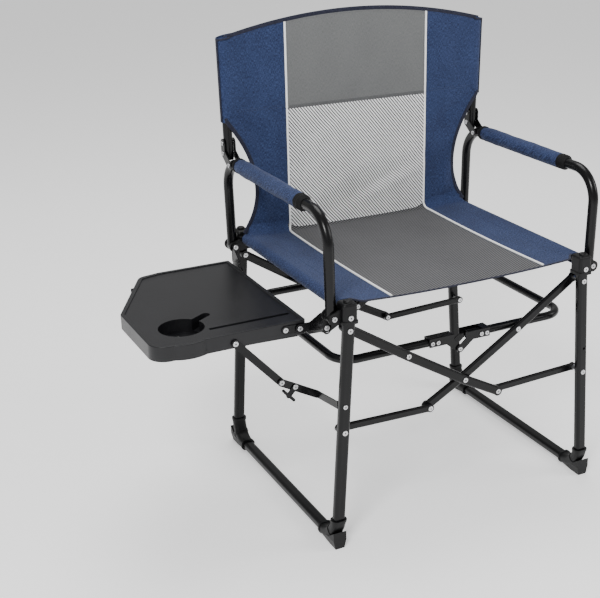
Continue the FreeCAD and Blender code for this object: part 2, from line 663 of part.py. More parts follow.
def add_sides():
    frame = side_frame(bracket_thick)
    outer, inner, low_x = frame["faces"]
    link_1_rear = -layer_1 + link_thick
    common = frame["rivets"]
    lug_rivet = rivet(*lug, rear_ear[1], rear_ear[1] + 2 * bracket_thick)
    spacer = washer(-half_top, top_z, inner, -layer_1)
    left_top = rivet(-half_top, top_z, outer, link_1_rear)
    left_low = rivet(-low_x, low_z, outer, -layer_1 + lower_thick)
    right_top = rivet(-half_top, top_z, outer, -layer_2 + link_thick)
    right_low = rivet(-low_x, low_z, outer, -layer_2 + lower_thick)
    long_spacers = [washer(-half_top, top_z, inner, -layer_2), washer(-low_x, low_z, inner, -layer_2)]
    foot_x, foot_z = strut_foot
    leg_face = inner + 0.6
    strut_rivet = [rivet(foot_x, foot_z, outer, leg_face + bar_thick, 4.2)]
    left = common + [spacer, left_top, left_low, washer(-low_x, low_z, inner, -layer_1), lug_rivet]
    right = side_frame(0)["rivets"] + long_spacers + [right_top, right_low]
    for name in ("leg_frame", "seat_rail", "seat_sleeve", "front_connector", "rear_connector", "feet"):
        add("left_" + name, frame[name])
        add("right_" + name, mirror_x(frame[name]))
    add("left_frame_rivets", both_ends(Part.makeCompound(left + strut_rivet)))
    add("right_frame_rivets", mirror_x(both_ends(Part.makeCompound(right))))


def add_links():
    link_a, link_b = link(layer_1), mirror_x(link(layer_2))
    lower_left, lower_right = lower_link(layer_1), mirror_x(lower_link(layer_2))
    for name, shape in (("link_a", link_a), ("link_b", link_b),
                        ("left_lower_link", lower_left), ("right_lower_link", lower_right)):
        add("front_" + name, shape)
        add("rear_" + name, mirror_y(shape))
    mx, mz = mid_pivot
    brace_face = -brace_y - brace_r
    cross = rivet(0.0, cross_z, -layer_1, -layer_2 + link_thick)
    mid_a = rivet(-mx, mz, -layer_1, -brace_y + brace_r)
    mid_b = rivet(mx, mz, -layer_2, -brace_y + brace_r)
    spacer_a = washer(-mx, mz, -layer_1 + link_thick, brace_face, 5.0)
    end_a = half_rivet(link_end, -layer_1, -layer_1 + link_thick, True)
    end_b = half_rivet((-link_end[0], link_end[1]), -layer_2, -layer_2 + link_thick, False)
    tail = half_rivet((-link_end[0], link_end[1]), -layer_1, -layer_1 + lower_thick, True)
    tail_right = half_rivet(link_end, -layer_2, -layer_2 + lower_thick, False)
    add("link_a_rivets", both_ends(Part.makeCompound([cross, mid_a, spacer_a, end_a])))
    add("link_b_rivets", both_ends(Part.makeCompound([mid_b, end_b])))
    add("left_lower_rivets", both_ends(tail))
    add("right_lower_rivets", both_ends(tail_right))


def half_rivet(spot, front, rear, outward, head=head_r):
    """A rivet with one head, which ends flush with the far face of its piece."""
    x, z = spot
    whole = rivet(x, z, front, rear, head)
    if outward:
        return whole.cut(box(x - 9, rear, z - 9, x + 9, rear + 9, z + 9))
    return whole.cut(box(x - 9, front - 9, z - 9, x + 9, front, z + 9))


def add_braces():
    left = brace()
    add("left_seat_brace", left)
    add("right_seat_brace", mirror_x(left))
    add("left_knee_brackets", both_ends(knee_bracket(inner_gap, -14.0)))
    add("right_knee_brackets", mirror_x(both_ends(knee_bracket(outer_gap, -49.0))))
    add("left_brace_rivets", both_ends(Part.makeCompound(brace_rivets(inner_gap))))
    add("right_brace_rivets", mirror_x(both_ends(Part.makeCompound(brace_rivets(outer_gap)))))


def add_arms():
    plates, pins = hinge_parts()
    for name, shape in (("arm_tube", arm_tube()), ("arm_pad", arm_pad()), ("back_post", back_post()),
                        ("hinge_plates", plates), ("post_rivets", Part.makeCompound(pins))):
        add("left_" + name, shape)
        add("right_" + name, mirror_x(shape))


def add_cloth():
    for name, shape in (("seat_{}_half", seat_half()), ("lower_back_{}", lower_back_half()),
                        ("back_{}_panel", back_side_panel())):
        add(name.format("left"), shape)
        add(name.format("right"), mirror_x(shape))
    add("back_centre_panel", back_centre_panel())
    add("carry_strap", carry_strap())


def add_table():
    add("side_table", side_table())
    add("table_brackets", both_ends(bracket()))
    add("table_hinge_plates", both_ends(hinge_plate()))
    y = table_y[0]
    hx, hz = table_hinge
    pins = [rivet(hx, hz, y - 4.4, y + 8.0), rivet(-329.5, 407.0, y - 1.8, y + table_wall),
            rivet(*strut_top, y - 1.0 - bar_thick - 0.6, y + table_wall)]
    add("table_rivets", both_ends(Part.makeCompound(pins)))
    upper_y = y - 1.0 - bar_thick
    upper = strut_bar(strut_top, strut_knee, upper_y)
    lower_y = upper_y - 0.4 - bar_thick
    lower = strut_lower(lower_y)
    add("strut_upper_bars", both_ends(upper))
    add("strut_lower_bars", both_ends(lower))
    knee_pin = half_rivet(strut_knee, lower_y, lower_y + bar_thick, True)
    latch_pin = half_rivet(latch_pivot, lower_y - 2.4, lower_y + bar_thick, True)
    add("strut_upper_rivets", both_ends(half_rivet(strut_knee, upper_y, upper_y + bar_thick, False)))
    add("strut_lower_rivets", both_ends(Part.makeCompound([knee_pin, latch_pin])))
    latch = strut_latch(lower_y)
    add("front_strut_latch", latch)
    add("rear_strut_latch", mirror_y(latch))


def main():
    add_sides()
    add_links()
    add_braces()
    add_arms()
    add_cloth()
    add_table()
    os.makedirs("parts", exist_ok=True)
    for name, shape in nodes.items():
        placed = shape.copy()
        placed.translate(ORIGIN_SHIFT)
        bad = [s for s in placed.Solids if not s.isValid()]
        if bad or not placed.Solids:
            print("check", name, "solids", len(placed.Solids), "invalid", len(bad))
        placed.exportStep("parts/" + name + ".step")
    print(len(nodes), "nodes")


main()
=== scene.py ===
import json
import math

import bpy
import numpy as np
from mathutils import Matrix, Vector


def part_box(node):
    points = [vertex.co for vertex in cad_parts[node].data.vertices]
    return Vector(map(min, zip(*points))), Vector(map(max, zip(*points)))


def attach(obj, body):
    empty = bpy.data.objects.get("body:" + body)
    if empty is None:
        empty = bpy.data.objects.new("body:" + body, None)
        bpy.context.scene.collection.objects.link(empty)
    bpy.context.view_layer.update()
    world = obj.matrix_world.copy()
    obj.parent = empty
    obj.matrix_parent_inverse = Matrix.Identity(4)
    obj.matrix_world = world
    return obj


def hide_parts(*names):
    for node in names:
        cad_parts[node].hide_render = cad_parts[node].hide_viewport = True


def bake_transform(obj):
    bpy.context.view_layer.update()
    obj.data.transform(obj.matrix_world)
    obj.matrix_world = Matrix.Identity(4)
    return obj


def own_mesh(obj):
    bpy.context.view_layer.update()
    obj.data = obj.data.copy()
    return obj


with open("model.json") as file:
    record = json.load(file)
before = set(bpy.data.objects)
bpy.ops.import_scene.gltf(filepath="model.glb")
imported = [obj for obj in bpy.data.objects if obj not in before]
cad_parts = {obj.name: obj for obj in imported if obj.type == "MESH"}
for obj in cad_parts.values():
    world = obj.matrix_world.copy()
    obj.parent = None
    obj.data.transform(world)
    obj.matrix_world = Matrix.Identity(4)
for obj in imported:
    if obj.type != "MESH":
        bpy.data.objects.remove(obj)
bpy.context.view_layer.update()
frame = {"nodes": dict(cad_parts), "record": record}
nodes = frame["nodes"]

# ------------------------------------------------------------------ chair coordinates
# Points are written in millimetres from the middle of the seat: x across, y to the rear, z up.
MIDDLE_X = (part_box("left_leg_frame")[0].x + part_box("right_leg_frame")[1].x) / 2

RAIL_X, RAIL_Z = 250.0, 460.0               # axis of a seat rail
SLEEVE_R = 10.9                             # middle of the cloth sleeve round the rail
ARM_X, ARM_Z = 275.6, 446.0                 # pivots of an arm tube
ARM_LEAN = math.tan(math.radians(1.0))      # arm tubes and back posts lean outwards
POST_Y, POCKET_R = 204.0, 10.8              # back post's axis, and the cloth pocket round it
PAD_Z, PAD_R = 624.0, 15.0                  # arm pad: height of its axis, radius
PAD_FRONT, PAD_REAR = -133.0, 156.0         # ends of the foam

CLOTH = 1.6                                 # thickness of the cloth
BACK_Y, BACK_BOW = 194.2, 4.5               # backrest: its sides, and how far its middle is behind
BACK_HALF = 287.0                           # half width at the top corners
CROWN_Z, CROWN_DROP = 896.0, 37.0           # top edge: its middle, and its fall to the corners
SEAM_Z = 713.0                              # sewn seam between the upper panel and the mesh
POCKET_DROP = 14.0                          # the post pocket ends this far below the seam
PIPE_BACK, PIPE_SEAT = 157.0, 162.0         # white piping, distance from the middle
SPLIT_X = 61.0                              # the back folds at this distance from its middle
GREY_SPLIT_X = -47.0                        # edge between two pieces of the grey panel
WAIST_Z, WAIST_X = 558.0, 228.0             # narrowest place of the backrest's side
SHOULDER_X, HIP_X = 285.0, 268.0            # half width above and below the waist
SEAT_FRONT, SEAT_REAR = -231.0, 190.0       # front edge, and where the crease begins
SEAT_MIDDLE_Z, SEAT_SAG = 461.5, 5.0        # height at the middle of the front edge, and the sag
SEAT_RISE = 2.4                             # power of the rise from the middle to the rails
CREASE_TIGHT, CREASE_WIDER = 6.0, 15.0      # bend at the crease: middle, and what the sides add

PIPE_R, PIPE_LIFT = 2.1, 1.6                # piping: radius, height over the cloth
PIPE_STEP = 5.0                             # distance between points along the piping
EDGE_TAPE = 8.0                             # width of the binding along the edges
PIPE_STITCH = 4.5                           # stitches beside the piping
TOP_STITCH = 8.2                            # stitches below the top edge
FOLD_GAIN = 1.5                             # on every height in FOLDS


def metres(points):
    """Chair millimetres to metres in the shared frame."""
    out = np.array(points, float) / 1000.0
    out[..., 0] += MIDDLE_X
    return out


def post_x(z):
    """Distance of a back post's axis from the middle at height z."""
    return ARM_X + (z - ARM_Z) * ARM_LEAN


def crown(x):
    """Height of the back's top edge."""
    return CROWN_Z - CROWN_DROP * (x / BACK_HALF) ** 2


def smooth(t):
    """0 below 0, 1 above 1, and a smooth rise between them."""
    t = min(1.0, max(0.0, t))
    return t * t * (3 - 2 * t)


# Soft folds in the back: start (x, z), end (x, z), height, half width.
FOLDS = [((-150, 500), (60, 600), 1.5, 15), ((-90, 480), (150, 585), -1.8, 14),
         ((-20, 500), (155, 560), 1.6, 12), ((-150, 610), (-20, 690), 1.1, 14),
         ((-262, 700), (-190, 640), -2.4, 12), ((-250, 712), (-170, 690), 1.6, 10),
         ((262, 700), (190, 650), -2.0, 12), ((-215, 560), (-205, 480), 2.4, 10),
         ((-245, 490), (-180, 475), -2.6, 10), ((245, 500), (175, 472), -3.0, 11),
         ((215, 570), (208, 500), 1.6, 11), ((-240, 740), (-235, 850), -0.8, 10),
         ((238, 735), (232, 845), -0.7, 10), ((-60, 740), (60, 760), 0.8, 18)]


def fold_height(x, z):
    """How far the soft folds push the back's cloth forward."""
    total = 0.0
    for (x0, z0), (x1, z1), height, width in FOLDS:
        dx, dz = x1 - x0, z1 - z0
        t = ((x - x0) * dx + (z - z0) * dz) / (dx * dx + dz * dz)
        near = min(1.0, max(0.0, t))
        away = math.hypot(x - x0 - near * dx, z - z0 - near * dz)
        along = math.sin(math.pi * (0.1 + 0.8 * near))
        total += FOLD_GAIN * height * math.exp(-(away / width) ** 2) * along
    return total


def back_y(x, z):
    """Depth of the backrest's middle surface."""
    side = abs(x) / BACK_HALF
    bow = BACK_BOW * (1 - min(1.0, side) ** 2)
    return BACK_Y + bow - fold_height(x, z)


def seat_z(x, y):
    """Height of the seat cloth's middle surface: it sags between the rails and in its middle."""
    side = min(1.0, abs(x) / RAIL_X)
    t = (y - SEAT_FRONT) / (SEAT_REAR - SEAT_FRONT)
    middle = SEAT_MIDDLE_Z - SEAT_SAG * math.sin(math.pi * min(1.0, max(0.0, t)))
    return middle + (RAIL_Z + SLEEVE_R - middle) * side ** SEAT_RISE


def seat_front(x):
    """Front edge of the seat cloth, cut back beside the corner caps."""
    bow, cut, cut_from, cut_run = 4.0, 20.0, 218, 20
    side = abs(x)
    return SEAT_FRONT + bow * (1 - (side / RAIL_X) ** 2) + cut * smooth((side - cut_from) / cut_run)


def back_edge(z):
    """Half width of the backrest at height z, under the post pockets."""
    shoulder_z, widening, most = 700, 1.5, 1.3
    if z > shoulder_z:
        return SHOULDER_X + widening * smooth((z - shoulder_z) / (SEAM_Z - shoulder_z))
    reach, wide = (142.0, SHOULDER_X) if z > WAIST_Z else (96.0, HIP_X)
    return WAIST_X + (wide - WAIST_X) * min(most, abs(z - WAIST_Z) / reach) ** 2


def crease_bend(x):
    """Radius of the bend from seat to backrest: tight in the middle, wider at the sides."""
    start, run = 135, 45
    return CREASE_TIGHT + CREASE_WIDER * smooth((abs(x) - start) / run)


def crease_top(x):
    """Height where the backrest cloth begins, at the top of the bend."""
    return seat_z(x, SEAT_REAR) + crease_bend(x)


# ------------------------------------------------------------------ materials
def shader(name, **values):
    """A material with a Principled shader, and values put on the shader's own sockets."""
    mat = bpy.data.materials.new(name)
    mat.use_nodes = True
    tree = mat.node_tree
    bsdf = tree.nodes["Principled BSDF"]
    for key, value in values.items():
        bsdf.inputs[key.replace("_", " ")].default_value = value
    return mat, tree, bsdf


def node(tree, kind, **inputs):
    made = tree.nodes.new(kind)
    for key, value in inputs.items():
        made.inputs[key].default_value = value
    return made


def math_node(tree, operation, a, b=None):
    made = tree.nodes.new("ShaderNodeMath")
    made.operation = operation
    for i, value in enumerate((a, b)):
        if value is None:
            continue
        if isinstance(value, (int, float)):
            made.inputs[i].default_value = value
        else:
            tree.links.new(value, made.inputs[i])
    return made.outputs[0]


def cloth_axes(tree):
    """Object coordinates along the cloth: u across, v rearwards on the seat and up the back."""
    coords = tree.nodes.new("ShaderNodeTexCoord")
    split = tree.nodes.new("ShaderNodeSeparateXYZ")
    tree.links.new(coords.outputs["Object"], split.inputs[0])
    v = math_node(tree, "ADD", split.outputs["Z"], split.outputs["Y"])
    return split.outputs["X"], v


def stretched_noise(tree, u, v, across, along, detail=2.0):
    """Noise with its own scale in each direction of the cloth."""
    join = tree.nodes.new("ShaderNodeCombineXYZ")
    tree.links.new(math_node(tree, "MULTIPLY", u, across), join.inputs[0])
    tree.links.new(math_node(tree, "MULTIPLY", v, along), join.inputs[1])
    noise = node(tree, "ShaderNodeTexNoise", Scale=1.0, Detail=detail)
    tree.links.new(join.outputs[0], noise.inputs["Vector"])
    return noise.outputs["Fac"]


def ramp(tree, value, stops):
    made = tree.nodes.new("ShaderNodeValToRGB")
    band = made.color_ramp
    while len(band.elements) < len(stops):
        band.elements.new(0.5)
    for element, (place, colour) in zip(band.elements, stops):
        element.position = place
        element.color = (*colour, 1.0)
    tree.links.new(value, made.inputs["Fac"])
    return made.outputs["Color"]


def add_bump(tree, bsdf, height, strength, distance):
    bump = node(tree, "ShaderNodeBump", Strength=strength, Distance=distance)
    tree.links.new(height, bump.inputs["Height"])
    tree.links.new(bump.outputs["Normal"], bsdf.inputs["Normal"])


def waves(tree, u, v, along_u, along_v, pitch):
    """Sine ridges across direction (along_u, along_v), from 0 to 1, with a pitch in metres."""
    turn = 2 * math.pi / pitch
    phase = math_node(tree, "ADD", math_node(tree, "MULTIPLY", u, along_u * turn),
                      math_node(tree, "MULTIPLY", v, along_v * turn))
    raised = math_node(tree, "MULTIPLY_ADD", math_node(tree, "SINE", phase), 0.5)
    raised.node.inputs[2].default_value = 0.5
    return raised


def rough_from(tree, bsdf, value, low, high):
    """Roughness that follows a noise from low to high."""
    span = tree.nodes.new("ShaderNodeMapRange")
    span.inputs["To Min"].default_value = low
    span.inputs["To Max"].default_value = high
    tree.links.new(value, span.inputs["Value"])
    tree.links.new(span.outputs["Result"], bsdf.inputs["Roughness"])


def hard_material(name, dark, light, rough, grain, bump, metallic=0.0, shine=0.3):
    """Paint, plastic or metal: a slow change of tone, a fine grain and uneven gloss."""
    mat, tree, bsdf = shader(name, Metallic=metallic, Specular_IOR_Level=shine)
    coords = tree.nodes.new("ShaderNodeTexCoord").outputs["Object"]
    slow = node(tree, "ShaderNodeTexNoise", Scale=14.0, Detail=5.0, Roughness=0.6)
    fine = node(tree, "ShaderNodeTexNoise", Scale=grain, Detail=3.0)
    for each in (slow, fine):
        tree.links.new(coords, each.inputs["Vector"])
    colour = ramp(tree, slow.outputs["Fac"], [(0.32, dark), (0.68, light)])
    tree.links.new(colour, bsdf.inputs["Base Color"])
    rough_from(tree, bsdf, slow.outputs["Fac"], rough[0], rough[1])
    add_bump(tree, bsdf, fine.outputs["Fac"], bump, 0.0004)
    return mat


def heather_material(name, stops, thread=0.0011, bump=0.5):
    """Woven melange cloth: light and dark threads along both directions, and a plain weave."""
    mat, tree, bsdf = shader(name, Roughness=0.88, Sheen_Weight=0.05, Sheen_Roughness=0.5,
                             Specular_IOR_Level=0.35)
    u, v = cloth_axes(tree)
    warp = stretched_noise(tree, u, v, 1400.0, 200.0)
    weft = stretched_noise(tree, u, v, 200.0, 1400.0)
    slow = stretched_noise(tree, u, v, 22.0, 14.0, 4.0)
    warp_share, weft_share, slow_share = 0.50, 0.40, 0.10
    mixed = math_node(tree, "ADD", math_node(tree, "MULTIPLY", warp, warp_share),
                      math_node(tree, "MULTIPLY", weft, weft_share))
    mixed = math_node(tree, "ADD", mixed, math_node(tree, "MULTIPLY", slow, slow_share))
    tree.links.new(ramp(tree, mixed, stops), bsdf.inputs["Base Color"])
    weave = math_node(tree, "MULTIPLY", waves(tree, u, v, 1.0, 0.0, thread),
                      waves(tree, u, v, 0.0, 1.0, thread))
    add_bump(tree, bsdf, math_node(tree, "ADD", weave, warp), bump, 0.0003)
    return mat


def mesh_material(name, hole, thread, shade, pitch, tilt, bump):
    """Spacer mesh: rows of small holes along a diagonal, over a darker ground."""
    mat, tree, bsdf = shader(name, Roughness=0.8, Sheen_Weight=0.08)
    u, v = cloth_axes(tree)
    row_share, dot_share, slow_share, dot_pitch = 0.68, 0.32, 0.16, 0.72
    c, s = math.cos(math.radians(tilt)), math.sin(math.radians(tilt))
    rows = waves(tree, u, v, c, s, pitch)
    dots = waves(tree, u, v, -s, c, pitch * dot_pitch)
    pattern = math_node(tree, "ADD", math_node(tree, "MULTIPLY", rows, row_share),
                        math_node(tree, "MULTIPLY", dots, dot_share))
    slow = stretched_noise(tree, u, v, 14.0, 10.0, 3.0)
    toned = math_node(tree, "ADD", pattern, math_node(tree, "MULTIPLY", slow, slow_share))
    colour = ramp(tree, toned, [(0.40, hole), (0.57, shade), (0.72, thread)])
    tree.links.new(colour, bsdf.inputs["Base Color"])
    add_bump(tree, bsdf, pattern, bump, 0.0006)
    return mat


def tape_material(name, dark, light, pitch, bump=0.5, sheen=0.05):
    """Narrow woven tape: fine ribs on the diagonal and slightly uneven dye."""
    mat, tree, bsdf = shader(name, Roughness=0.78, Sheen_Weight=sheen, Specular_IOR_Level=0.25)
    coords = tree.nodes.new("ShaderNodeTexCoord").outputs["Object"]
    wave = node(tree, "ShaderNodeTexWave", Scale=1.0 / pitch, Distortion=0.6, Detail=1.0)
    wave.bands_direction = "DIAGONAL"
    noise = node(tree, "ShaderNodeTexNoise", Scale=260.0, Detail=3.0)
    for each in (wave, noise):
        tree.links.new(coords, each.inputs["Vector"])
    colour = ramp(tree, noise.outputs["Fac"], [(0.3, dark), (0.7, light)])
    tree.links.new(colour, bsdf.inputs["Base Color"])
    add_bump(tree, bsdf, wave.outputs["Fac"], bump, 0.0003)
    return mat


PAINT = hard_material("black_paint", (0.0018, 0.0018, 0.0021), (0.0042, 0.0042, 0.0048),
                      (0.20, 0.30), 1500.0, 0.10, shine=0.24)
STEEL = hard_material("rivet_steel", (0.40, 0.40, 0.41), (0.72, 0.72, 0.73),
                      (0.20, 0.38), 900.0, 0.08, metallic=1.0, shine=0.5)
PLASTIC = hard_material("black_plastic", (0.0024, 0.0024, 0.0027), (0.0055, 0.0055, 0.0060),
                        (0.38, 0.52), 2200.0, 0.25, shine=0.24)
TABLE = hard_material("table_plastic", (0.0062, 0.0062, 0.0074), (0.0105, 0.0106, 0.0122),
                      (0.28, 0.40), 2600.0, 0.20, shine=0.32)
BLUE = heather_material("blue_cloth", [(0.40, (0.005, 0.010, 0.036)),
                                       (0.50, (0.015, 0.028, 0.086)),
                                       (0.60, (0.040, 0.066, 0.164))])
GREY = heather_material("grey_cloth", [(0.36, (0.104, 0.107, 0.108)),
                                       (0.64, (0.162, 0.166, 0.166))], bump=0.3)
SEAM_GREY = heather_material("grey_seam", [(0.34, (0.070, 0.072, 0.074)),
                                           (0.66, (0.112, 0.115, 0.117))], bump=0.4)
BACK_MESH = mesh_material("back_mesh", (0.010, 0.010, 0.012), (0.98, 0.98, 0.99),
                          (0.62, 0.62, 0.63), 0.0050, 40.0, 1.0)
SEAT_MESH = mesh_material("seat_mesh", (0.002, 0.002, 0.003), (0.128, 0.128, 0.134),
                          (0.026, 0.026, 0.029), 0.0048, -62.0, 0.8)
NAVY = tape_material("navy_binding", (0.009, 0.010, 0.022), (0.020, 0.022, 0.042), 0.0011)
BLACK_TAPE = tape_material("black_binding", (0.0015, 0.0015, 0.0018), (0.005, 0.005, 0.006),
                           0.0012, sheen=0.0)
WHITE = tape_material("white_piping", (0.92, 0.92, 0.91), (0.98, 0.98, 0.97), 0.0016, 0.3)
THREAD = tape_material("thread", (0.020, 0.030, 0.070), (0.045, 0.065, 0.130), 0.0006)
GREY_THREAD = tape_material("grey_thread", (0.09, 0.09, 0.095), (0.17, 0.17, 0.175), 0.0006)


# ------------------------------------------------------------------ mesh tools
SHARP_DEGREES = 50.0
TINY = 1e-12


def piece(name, points, faces, material):
    """A mesh object of points in chair millimetres, smooth but for its sharp edges."""
    mesh = bpy.data.meshes.new(name)
    mesh.from_pydata([tuple(p) for p in metres(points)], [], faces)
    mesh.update()
    mesh.shade_smooth()
    mesh.set_sharp_from_angle(angle=math.radians(SHARP_DEGREES))
    mesh.materials.append(material)
    obj = bpy.data.objects.new(name, mesh)
    bpy.context.scene.collection.objects.link(obj)
    return obj


def grid_faces(rows, columns, start=0, flip=False):
    """Quads of a grid of points that is stored row by row from index start."""
    out = []
    for i in range(rows - 1):
        for j in range(columns - 1):
            a = start + i * columns + j
            quad = (a, a + 1, a + columns + 1, a + columns)
            out.append(quad[::-1] if flip else quad)
    return out


def cloth(name, grid, material):
    """A sheet of cloth through a grid of points, closed round its edges."""
    g = np.array(grid, float)
    rows, columns, _ = g.shape
    normal = np.cross(np.gradient(g, axis=0), np.gradient(g, axis=1))
    normal /= np.linalg.norm(normal, axis=2, keepdims=True) + TINY
    layers = np.concatenate([(g + normal * CLOTH / 2).reshape(-1, 3),
                             (g - normal * CLOTH / 2).reshape(-1, 3)])
    n = rows * columns
    faces = grid_faces(rows, columns) + grid_faces(rows, columns, n, True)
    rim = [(0, j) for j in range(columns)]
    rim += [(i, columns - 1) for i in range(1, rows)]
    rim += [(rows - 1, j) for j in range(columns - 2, -1, -1)]
    rim += [(i, 0) for i in range(rows - 2, 0, -1)]
    loop = [i * columns + j for i, j in rim]
    for a, b in zip(loop, loop[1:] + loop[:1]):
        faces.append((b, a, a + n, b + n))
    return piece(name, layers, faces, material)


def resample(points, step):
    """A smooth curve through the points, with a point about every step."""
    p = [np.array(q, float) for q in points]
    p = [2 * p[0] - p[1]] + p + [2 * p[-1] - p[-2]]
    out = []
    for a, b, c, d in zip(p, p[1:], p[2:], p[3:]):
        count = max(1, int(round(np.linalg.norm(c - b) / step)))
        for k in range(count):
            t = k / count
            out.append(0.5 * (2 * b + (c - a) * t + (2 * a - 5 * b + 4 * c - d) * t * t
                              + (3 * b - a - 3 * c + d) * t ** 3))
    out.append(p[-2])
    return np.array(out)


def sweep_mesh(path, profile, up, scale=None):
    """Points and faces of a closed profile of (across, up) offsets carried along the path."""
    path = np.array(path, float)
    tangent = np.gradient(path, axis=0)
    tangent /= np.linalg.norm(tangent, axis=1, keepdims=True) + TINY
    ups = np.array(up, float)
    ups = np.broadcast_to(ups, path.shape) if ups.ndim == 1 else ups
    across = np.cross(tangent, ups)
    across /= np.linalg.norm(across, axis=1, keepdims=True) + TINY
    lift = np.cross(across, tangent)
    k = len(profile)
    points = []
    for i, centre in enumerate(path):
        size = 1.0 if scale is None else scale[i]
        for a, b in profile:
            points.append(centre + size * (across[i] * a + lift[i] * b))
    faces = []
    for i in range(len(path) - 1):
        for j in range(k):
            a, b = i * k + j, i * k + (j + 1) % k
            faces.append((a, b, b + k, a + k))
    faces.append(tuple(range(k))[::-1])
    faces.append(tuple(range((len(path) - 1) * k, len(path) * k)))
    return points, faces


def round_profile(radius, sides=10):
    turns = [2 * math.pi * i / sides for i in range(sides)]
    return [(radius * math.cos(a), radius * math.sin(a)) for a in turns]


def tape_profile(width, thick):
    """A flat tape with rounded edges."""
    half, r = width / 2, thick / 2
    near, far = half - r * 0.3, half - r * 1.4      # where the edge's rounding starts and ends
    low = r * 0.7
    return [(near, low), (half, 0), (near, -low), (far, -r), (0, -r), (-far, -r), (-near, -low),
            (-half, 0), (-near, low), (-far, r), (0, r), (far, r)]


def sweep(name, path, profile, up, material, scale=None):
    """An object of a profile carried along a path."""
    points, faces = sweep_mesh(path, profile, up, scale)
    return piece(name, points, faces, material)


def joined(name, parts, material):
    """One object of many small meshes, each given as (points, faces)."""
    points, faces = [], []
    for new_points, new_faces in parts:
        start = len(points)
        points.extend(new_points)
        faces.extend([tuple(start + i for i in face) for face in new_faces])
    return piece(name, points, faces, material)


def stitch_row(path, up, pitch=4.2, length=2.7):
    """Short thread dashes along a path, each half sunk in the cloth."""
    radius, sides, margin = 0.42, 5, 0.5
    path = resample(path, 1.0)
    run = np.concatenate([[0], np.cumsum(np.linalg.norm(np.diff(path, axis=0), axis=1))])
    parts = []
    for k in range(int(run[-1] / pitch)):
        ends = [k * pitch + margin, k * pitch + margin + length]
        spots = [[np.interp(e, run, path[:, axis]) for axis in range(3)]
                 for e in (ends[0], sum(ends) / 2, ends[1])]
        parts.append(sweep_mesh(spots, round_profile(radius, sides), up))
    return parts


# ------------------------------------------------------------------ how each piece moves
SIDES = (("left", -1), ("right", 1))
UPPER_ROWS = 26
BEND_STEPS = 6
UPPER_BODY = {"left": "back_left", "right": "back_right"}


def with_seat(obj, side):
    """Cloth that stays flat on its half of the seat."""
    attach(obj, "seat_" + side)


def crumples(obj, side):
    """Cloth of the lower back: it goes with the seat half and gets a mesh of its own."""
    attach(obj, "seat_" + side)
    tuple(metres((0, 195, 468)))
    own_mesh(obj)


def with_pocket(obj, s):
    """Cloth that leaves the post's pocket: it stays where it is built, its transform baked into its
    points.
    """
    tuple(metres((s * 276, 195, 780)))
    tuple(metres((s * 252, 195, 780)))
    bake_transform(obj)


def with_rail(obj, s):
    """Cloth that leaves the rail's sleeve: it stays where it is built, its transform baked into its
    points.
    """
    tuple(metres((s * 247, 0, RAIL_Z)))
    tuple(metres((s * 226, 0, RAIL_Z)))
    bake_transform(obj)


def upper_grid(x0, x1):
    """Points of the back above the seam, from x0 to x1."""
    columns, rows = 16, UPPER_ROWS
    grid = []
    for j in range(columns):
        x = x0 + (x1 - x0) * j / (columns - 1)
        zs = [SEAM_Z + (crown(x) - SEAM_Z) * i / (rows - 1) for i in range(rows)]
        grid.append([(x, back_y(x, z), z) for z in zs])
    return grid


def seat_grid(xs):
    """Seat cloth from the front edge to the crease, where it turns up."""
    rows = 40
    grid = []
    for x in xs:
        front, bend = seat_front(x), crease_bend(x)
        top = crease_top(x)
        rear = back_y(x, top) - bend
        line = []
        for i in range(rows):
            y = front + (rear - front) * i / (rows - 1)
            line.append((x, y, seat_z(x, y)))
        for k in range(1, BEND_STEPS + 1):
            a = math.pi / 2 * k / BEND_STEPS
            line.append((x, rear + bend * math.sin(a), top - bend * math.cos(a)))
        grid.append(line)
    return grid


def spaced(a, b, n):
    """n numbers from a to b."""
    return [a + (b - a) * i / (n - 1) for i in range(n)]


# ------------------------------------------------------------------ backrest above the seam
FRONT_STEPS, ROUND_STEPS, FLAP_STEPS = 16, 12, 6
POCKET_RUN = 22           # the cloth bends round the post over this width
FLAP_WIDE, FLAP_GAP = 42, 3.0
POCKET_FOOT, POCKET_TOP, CAP_Z = 701.0, 857.0, 858


def pocket_section(z, s):
    """Front of the side panel, round the post, and the flap behind: (x, y) points."""
    px = post_x(z)
    out = []
    for i in range(FRONT_STEPS):
        x = PIPE_BACK + (px - PIPE_BACK) * i / FRONT_STEPS
        flat = back_y(s * x, z)
        lean = smooth((x - px + POCKET_RUN) / POCKET_RUN)
        out.append((s * x, flat + (POST_Y - POCKET_R - flat) * lean))
    for k in range(ROUND_STEPS + 1):
        a = -math.pi / 2 + math.pi * k / ROUND_STEPS
        out.append((s * (px + POCKET_R * math.cos(a)), POST_Y + POCKET_R * math.sin(a)))
    for k in range(1, FLAP_STEPS + 1):
        t = k / FLAP_STEPS
        rear = back_y(s * px, z) + FLAP_GAP
        y = POST_Y + POCKET_R + (rear - POST_Y - POCKET_R) * smooth(t)
        out.append((s * (px - FLAP_WIDE * t), y))
    return out


def pocket_low(k):
    """The pocket reaches a little lower than the seam, round the post."""
    return SEAM_Z - POCKET_DROP * smooth((k - FRONT_STEPS + 1) / 2)


MIDDLE_GUESS = 780.0      # first guess of a height on the side panel
FITS = 3                  # how often a point's height and width are fitted to each other


def side_panel(side, s):
    """The blue panel with its post pocket."""
    columns = FRONT_STEPS + ROUND_STEPS + 1 + FLAP_STEPS
    grid = []
    for i in range(UPPER_ROWS):
        t = i / (UPPER_ROWS - 1)
        line = []
        for k in range(columns):
            low = pocket_low(k)
            z = MIDDLE_GUESS
            for _ in range(FITS):
                x = pocket_section(z, s)[k][0]
                z = low + (crown(x) - low) * t
            x, y = pocket_section(z, s)[k]
            line.append((x, y, z))
        grid.append(line)
    grid = np.array(grid)
    if s < 0:
        grid = grid[::-1]
    return cloth("back_side_" + side, grid, BLUE)


